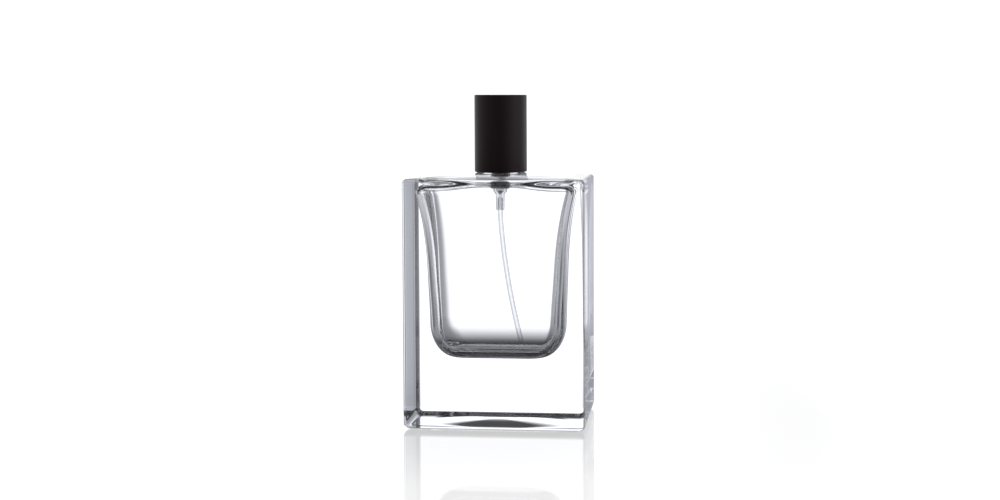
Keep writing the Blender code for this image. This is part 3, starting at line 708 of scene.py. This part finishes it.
bm = bmesh.new()
bmesh.ops.create_uvsphere(bm, u_segments=40, v_segments=24, radius=0.85 * MM)
bmesh.ops.translate(bm, vec=(0, 0, 77.39 * MM), verts=bm.verts)
ball = bpy.data.meshes.new("valve_ball")
bm.to_mesh(ball)
bm.free()
ball.shade_smooth()
piece("valve_ball", ball, BALL, "inlet_valve", "inlet_ball")

round_piece("stem_tube", (
    (1.3, 103.4, 0.05), (1.45, 103.2, 0.1), (1.45, 95.8, 0.12), (2.3, 95.8, 0.12), (2.3, 95.1, 0.12), (1.2, 95.1, 0.05), (1.2, 90.6, 0.12),
    (0.6, 90.6, 0.06), (0.6, 103.4, 0.06)), WHITE, "stem", "stem")

# ================================================================ actuator
shell = lathe_mesh("actuator_shell_turned", arc_profile((
    (0, ACT_Z1 - 0.14), (4.7, ACT_Z1 - 0.12, 2.0), (5.75, ACT_Z1, 0.5), (ACT_R, ACT_Z1, 0.24), (ACT_R, ACT_Z0, 0.12), (6.02, ACT_Z0, 0.1),
    (6.02, 108.6, 0.1), (0, 108.6)), 6), 160, False)
tool = bpy.data.objects.new("window_tool", lathe_mesh("window_tool", ((0, 5.0), (NOZZLE_R + 0.1, 5.0), (NOZZLE_R + 0.1, 7.5), (0, 7.5)), 64, False))
tool.rotation_euler = (math.radians(90), 0, 0)
tool.location = (0, 0, NOZZLE_Z * MM)
rough = bpy.data.objects.new("shell_tool", shell)
for o in (tool, rough):
    bpy.context.scene.collection.objects.link(o)
window = rough.modifiers.new("window", "BOOLEAN")
window.operation, window.solver, window.object = "DIFFERENCE", "EXACT", tool
bpy.context.view_layer.update()
made = bpy.data.meshes.new_from_object(rough.evaluated_get(bpy.context.evaluated_depsgraph_get()))
for o in (tool, rough):
    bpy.data.objects.remove(o, do_unlink=True)
bm = bmesh.new()
bm.from_mesh(made)
bmesh.ops.remove_doubles(bm, verts=bm.verts, dist=2e-7)
bm.to_mesh(made)
bm.free()
made.shade_smooth()
made.set_sharp_from_angle(angle=math.radians(40))
piece("actuator_cover", made, GUNMETAL, "actuator", "actuator_shell")

insert = lathe_mesh("nozzle_cup", arc_profile((
    (0.16, 2.30), (0.24, 2.30), (0.46, 2.47, 0.08), (0.62, 2.47, 0.05), (0.72, 2.38, 0.05), (0.92, 2.38, 0.05), (1.02, 2.47, 0.05), (1.42, 2.47, 0.1),
    (NOZZLE_R, 2.25, 0.1), (NOZZLE_R, 0.0, 0.08), (0.9, 0.0, 0.05), (0.9, 1.9, 0.05), (0.16, 2.0)), 3), 96)
insert.transform(Matrix.Translation((0, -3.55 * MM, NOZZLE_Z * MM)) @ Matrix.Rotation(math.radians(90), 4, "X"))
piece("nozzle_cup", insert, NOZZLE, "actuator", "nozzle_insert")

# ================================================================ cap
round_piece("cap_cover", (
    (0, CAP_Z1), (CAP_R, CAP_Z1, 0.30), (CAP_R, CAP_Z0, 0.12), (8.46, CAP_Z0, 0.06), (8.46, 110.1, 0.1), (0, 110.1)),
    BLACK, "cap", "cap_shell", 192, False, 6)
round_piece("cap_lining", (
    (0, 110.05), (8.42, 110.05, 0.2), (8.42, 85.2, 0.06), (8.2, 85.2, 0.06), (8.12, 85.6, 0.1), (8.12, 88.6, 0.25), (8.02, 88.9, 0.15),
    (8.02, 89.5, 0.15), (8.12, 89.8, 0.25), (8.12, 109.55, 0.15), (0, 109.55)), LINER, "cap", "cap_liner", 160, False)

# the hidden moving parts keep their CAD shape
for name, mat in {"stem_seal": RUBBER, "piston_rod": WHITE, "piston": PISTON, "actuator_core": CORE}.items():
    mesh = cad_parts[name].data
    mesh.materials.clear()
    mesh.materials.append(mat)

def from_above(nt):
    """0 for a level camera and 1 for one that looks down by 20 degrees or more."""
    turn = nt.nodes.new("ShaderNodeVectorTransform")
    turn.vector_type, turn.convert_from, turn.convert_to = "VECTOR", "CAMERA", "WORLD"
    turn.inputs[0].default_value = (0, 0, 1)
    xyz = nt.nodes.new("ShaderNodeSeparateXYZ")
    nt.links.new(turn.outputs[0], xyz.inputs[0])
    span = nt.nodes.new("ShaderNodeMapRange")
    span.interpolation_type = "SMOOTHSTEP"
    span.inputs["From Min"].default_value, span.inputs["From Max"].default_value = math.sin(math.radians(6)), math.sin(math.radians(20))
    nt.links.new(math_node(nt, "ABSOLUTE", xyz.outputs["Z"]), span.inputs["Value"])
    return span.outputs[0]


def lifted(nt, value, bright, share, amount):
    """Moves a light value towards a brighter one by share x amount."""
    n = nt.nodes.new("ShaderNodeMix")
    n.data_type = "RGBA"
    nt.links.new(math_node(nt, "MULTIPLY", amount, share), n.inputs[0])
    nt.links.new(value, n.inputs[6])
    n.inputs[7].default_value = (bright, bright, bright, 1)
    return n.outputs[2]


def behind_glass(nt, light_path, tint):
    """The cool cast of the glass: white for light that reaches the camera without passing through it."""
    n = nt.nodes.new("ShaderNodeMix")
    n.data_type = "RGBA"
    nt.links.new(math_node(nt, "GREATER_THAN", light_path.outputs["Transmission Depth"], 0.5), n.inputs[0])
    n.inputs[6].default_value = (1, 1, 1, 1)
    nt.links.new(tint, n.inputs[7])
    return n.outputs[2]


def times(nt, a, b):
    n = nt.nodes.new("ShaderNodeMix")
    n.data_type = "RGBA"
    n.blend_type = "MULTIPLY"
    n.inputs[0].default_value = 1.0
    nt.links.new(a, n.inputs[6])
    nt.links.new(b, n.inputs[7])
    return n.outputs[2]


# ================================================================ floor
me = bpy.data.meshes.new("floor")
bm = bmesh.new()
bmesh.ops.create_circle(bm, cap_ends=True, segments=96, radius=0.9)
bm.to_mesh(me)
bm.free()
floor = bpy.data.objects.new("floor", me)
floor.location = (0, 0, -0.0003)
bpy.context.scene.collection.objects.link(floor)
mat = bpy.data.materials.new("floor_white")
mat.use_nodes = True
nt = mat.node_tree
nt.nodes.clear()
out = nt.nodes.new("ShaderNodeOutputMaterial")
path = nt.nodes.new("ShaderNodeLightPath")
emit_cam = node(nt, "ShaderNodeEmission", **{"Strength": 1.0})
emit_ray = node(nt, "ShaderNodeEmission", **{"Strength": 1.0})
sheen = node(nt, "ShaderNodeBsdfGlossy", **{"Roughness": 0.05, "Color": (0.45, 0.45, 0.45, 1)})
grazing = nt.nodes.new("ShaderNodeLayerWeight")
grazing.inputs["Blend"].default_value = 0.5
nt.links.new(ramp(nt, grazing.outputs["Facing"], ((0.0, 0.30), (0.5, 0.38), (0.66, 0.6), (0.76, 0.97), (0.85, 1.0), (1.0, 1.0))), sheen.inputs["Color"])
# painted shadow: the floor's glow, as rays other than the camera's see it, is near black under the bottle and brightens
# with distance from its centre
under = nt.nodes.new("ShaderNodeNewGeometry")
reach = nt.nodes.new("ShaderNodeVectorMath")
reach.operation = "LENGTH"
nt.links.new(under.outputs["Position"], reach.inputs[0])
floor_glow_painted_shadow = ramp(nt, math_node(nt, "MULTIPLY", reach.outputs["Value"], 1 / 0.2), ((0.12, 0.015), (0.25, 0.12), (0.5, 0.42), (1.0, 0.80)))
cast = nt.nodes.new("ShaderNodeRGB")
cast.outputs[0].default_value = (0.97, 0.98, 1.07, 1)
nt.links.new(times(nt, lifted(nt, floor_glow_painted_shadow, 0.72, 0.7, from_above(nt)), behind_glass(nt, path, cast.outputs[0])), emit_ray.inputs["Color"])
nt.links.new(ramp(nt, grazing.outputs["Facing"], ((0.0, 1.0), (0.45, 1.0), (0.72, 0.05), (1.0, 0.0))), emit_ray.inputs["Strength"])
acrylic = nt.nodes.new("ShaderNodeAddShader")
nt.links.new(emit_ray.outputs[0], acrylic.inputs[0])
nt.links.new(sheen.outputs[0], acrylic.inputs[1])
mirror = node(nt, "ShaderNodeBsdfGlossy", **{"Roughness": 0.012})
pick = nt.nodes.new("ShaderNodeMixShader")
nt.links.new(path.outputs["Is Camera Ray"], pick.inputs[0])
nt.links.new(acrylic.outputs[0], pick.inputs[1])
blend = nt.nodes.new("ShaderNodeMixShader")
geo = nt.nodes.new("ShaderNodeNewGeometry")
length = nt.nodes.new("ShaderNodeVectorMath")
length.operation = "LENGTH"
nt.links.new(geo.outputs["Position"], length.inputs[0])
fade = ramp(nt, math_node(nt, "MULTIPLY", length.outputs["Value"], 1 / 0.16), ((0.15, 0.42), (0.5, 0.2), (1.0, 0.0)), "EASE")
nt.links.new(fade, blend.inputs[0])
nt.links.new(math_node(nt, "SUBTRACT", 1.1, math_node(nt, "MULTIPLY", fade, 0.24)), emit_cam.inputs["Strength"])
nt.links.new(emit_cam.outputs[0], blend.inputs[1])
nt.links.new(mirror.outputs[0], blend.inputs[2])
nt.links.new(blend.outputs[0], pick.inputs[2])
nt.links.new(pick.outputs[0], out.inputs["Surface"])
me.materials.append(mat)

# ================================================================ light
world = bpy.data.worlds.new("studio")
bpy.context.scene.world = world
world.use_nodes = True
nt = world.node_tree
nt.nodes.clear()
out = nt.nodes.new("ShaderNodeOutputWorld")
bg = nt.nodes.new("ShaderNodeBackground")
tex = nt.nodes.new("ShaderNodeTexCoord")
sep = nt.nodes.new("ShaderNodeSeparateXYZ")
norm = nt.nodes.new("ShaderNodeVectorMath")
norm.operation = "NORMALIZE"
nt.links.new(tex.outputs["Camera"], norm.inputs[0])
nt.links.new(norm.outputs[0], sep.inputs[0])
X, Y, Z = sep.outputs
azim = math_node(nt, "ADD", math_node(nt, "ARCTAN2", X, Z), math.radians(5.0))        # 0 near the line camera - bottle, + to the right
level = nt.nodes.new("ShaderNodeSeparateXYZ")
upright = nt.nodes.new("ShaderNodeVectorMath")
upright.operation = "NORMALIZE"
nt.links.new(tex.outputs["Generated"], upright.inputs[0])
nt.links.new(upright.outputs[0], level.inputs[0])
elev = math_node(nt, "ARCSINE", level.outputs["Z"])
az_unit = math_node(nt, "ADD", math_node(nt, "MULTIPLY", azim, 1 / math.tau), 0.5)      # 0.5 = ahead


def stop(deg):
    return 0.5 + deg / 360


# seen through the glass: a white sheet straight behind, dark card to both sides and overhead
through = ramp(nt, az_unit, (
    (stop(-179), 0.25), (stop(-150), 0.40), (stop(-125), 0.35), (stop(-100), 0.22), (stop(-80), 0.12), (stop(-66), 0.08), (stop(-55), 0.18),
    (stop(-46), 0.26), (stop(-37), 0.25), (stop(-29), 0.42), (stop(-22), 0.78), (stop(-15), 1.0), (stop(13), 1.0), (stop(16), (0.506, 0.52, 0.538)),
    (stop(21), (0.389, 0.40, 0.414)), (stop(28), 0.24), (stop(37), 0.32), (stop(48), 0.36), (stop(65), 0.30), (stop(78), 0.16), (stop(92), 0.06),
    (stop(112), 0.06), (stop(135), 0.18), (stop(179), 0.25)))
# mirrored by the metal, the cap and the outer faces of the glass: tall white panels with a gap for the camera
mirrored = ramp(nt, az_unit, (
    (stop(-178), 0.05), (stop(-168), 0.17), (stop(-144), 0.25), (stop(-125), 0.22), (stop(-114), 0.31), (stop(-103), 0.52),
    (stop(-78), 0.48), (stop(-60), 0.60), (stop(-40), 0.75), (stop(-20), 1.0), (stop(-12), 1.15), (stop(8), 1.15), (stop(14), (0.565, 0.57, 0.64)), (stop(30), (0.645, 0.65, 0.72)), (stop(45), 0.75),
    (stop(60), 0.70), (stop(78), 0.55), (stop(92), 0.65), (stop(108), 0.95), (stop(120), 0.85), (stop(133), 0.55), (stop(150), 0.32),
    (stop(168), 0.2), (stop(178), 0.05)))
el_unit = math_node(nt, "ADD", math_node(nt, "MULTIPLY", elev, 1 / math.pi), 0.5)
high = ramp(nt, el_unit, ((0.0, 1.0), (0.5 + 19 / 180, 1.0), (0.5 + 25 / 180, 0.52), (0.5 + 31 / 180, 0.2), (0.5 + 40 / 180, 0.06), (1.0, 0.02)))
high_mirror = ramp(nt, el_unit, ((0.0, 0.6), (0.5, 1.0), (0.5 + 40 / 180, 0.9), (0.5 + 70 / 180, 0.35), (1.0, 0.3)))

lp = nt.nodes.new("ShaderNodeLightPath")
final = nt.nodes.new("ShaderNodeMix")
final.data_type = "RGBA"
nt.links.new(lp.outputs["Is Camera Ray"], final.inputs[0])
kind = nt.nodes.new("ShaderNodeMix")
kind.data_type = "RGBA"
first_surface = math_node(nt, "MULTIPLY", lp.outputs["Is Glossy Ray"], math_node(nt, "LESS_THAN", lp.outputs["Transmission Depth"], 0.5))
nt.links.new(first_surface, kind.inputs[0])
above = from_above(nt)
cool = ramp(nt, through, ((0.0, (0.96, 0.975, 1.10)), (0.3, (0.97, 0.98, 1.065)), (0.5, (0.98, 0.985, 1.045)), (1.0, (0.98, 0.985, 1.045))))
tinted = times(nt, times(nt, lifted(nt, through, 0.9, 0.35, above), lifted(nt, high, 0.9, 0.5, above)), behind_glass(nt, lp, cool))
nt.links.new(tinted, kind.inputs[6])
# a low dark card to the right, behind the bottle: it darkens the foot of the right-hand face, by way of the floor
card_az = ramp(nt, az_unit, ((stop(9), 0.0), (stop(12), 1.0), (stop(22), 1.0), (stop(30), 0.0)))
card_el = ramp(nt, el_unit, ((0.5 + 11.9 / 180, 0.0), (0.5 + 12.8 / 180, 1.0), (0.5 + 13.6 / 180, 0.8), (0.5 + 15 / 180, 0.3),
                             (0.5 + 17 / 180, 0.1), (0.5 + 24 / 180, 0.0)))
card_two = math_node(nt, "MULTIPLY", card_az, math_node(nt, "GREATER_THAN", lp.outputs["Ray Depth"], 1.5))
card = math_node(nt, "SUBTRACT", 1.0, math_node(nt, "MULTIPLY", math_node(nt, "MULTIPLY", card_two, card_el), 0.52))
nt.links.new(times(nt, times(nt, mirrored, card), lifted(nt, high_mirror, 1.0, 0.9, above)), kind.inputs[7])
nt.links.new(kind.outputs[2], final.inputs[6])
final.inputs[7].default_value = (1.1, 1.1, 1.1, 1)
nt.links.new(final.outputs[2], bg.inputs["Color"])
bright = math_node(nt, "SUBTRACT", 1.28, math_node(nt, "MULTIPLY", lp.outputs["Is Camera Ray"], 0.28))
nt.links.new(bright, bg.inputs["Strength"])
nt.links.new(bg.outputs[0], out.inputs["Surface"])

# ================================================================ camera
# The lens looks almost square at the front of the glass from a point to its right and above it; the frame is
# cut from one side of the image circle, which is what the two shifts do.
EYE = (0.0700, -0.3840, 0.1114)
YAW, PITCH, ROLL = math.radians(3.5), math.radians(2.5), math.radians(-0.03)
ZOOM = 1.3
FOCAL_PX = 878.0 * ZOOM
AXIS_PX = (637.4, 142.3)                          # where the optical axis meets the 1000 x 500 frame
cam = bpy.data.cameras.new("camera")
cam_obj = bpy.data.objects.new("camera", cam)
bpy.context.scene.collection.objects.link(cam_obj)
cam.sensor_width = 36.0
cam.lens = FOCAL_PX * 36.0 / 1000.0
cam.clip_start = 0.01
cam_obj.location = EYE
ahead = Vector((-math.sin(YAW) * math.cos(PITCH), math.cos(YAW) * math.cos(PITCH), -math.sin(PITCH)))
cam_obj.rotation_mode = "QUATERNION"
cam_obj.rotation_quaternion = ahead.to_track_quat("-Z", "Y") @ Quaternion((0, 0, 1), -ROLL)
bpy.context.scene.camera = cam_obj


def lens_shift(prop, value):
    """The shift belongs to this one viewpoint: a driver drops it when the camera stands anywhere else."""
    setattr(cam, prop, value)
    drv = cam.driver_add(prop).driver
    drv.type = "SCRIPTED"
    for name, kind in (("x", "LOC_X"), ("y", "LOC_Y"), ("z", "LOC_Z")):
        var = drv.variables.new()
        var.name = name
        var.type = "TRANSFORMS"
        var.targets[0].id = cam_obj
        var.targets[0].transform_type = kind
        var.targets[0].transform_space = "WORLD_SPACE"
    drv.expression = "%.5f if abs(x - %.4f) + abs(y - %.4f) + abs(z - %.4f) < 0.001 else 0" % ((value,) + EYE)


lens_shift("shift_x", (500.0 - AXIS_PX[0]) / 1000.0)
lens_shift("shift_y", (AXIS_PX[1] - 250.0) / 1000.0)

scene = bpy.context.scene
scene.view_settings.view_transform = "Standard"
scene.view_settings.look = "None"
scene.cycles.max_bounces = 32
scene.cycles.transmission_bounces = 32
scene.cycles.glossy_bounces = 16
scene.cycles.diffuse_bounces = 4
scene.cycles.transparent_max_bounces = 16
scene.cycles.use_denoising = True
scene.cycles.blur_glossy = 0.0
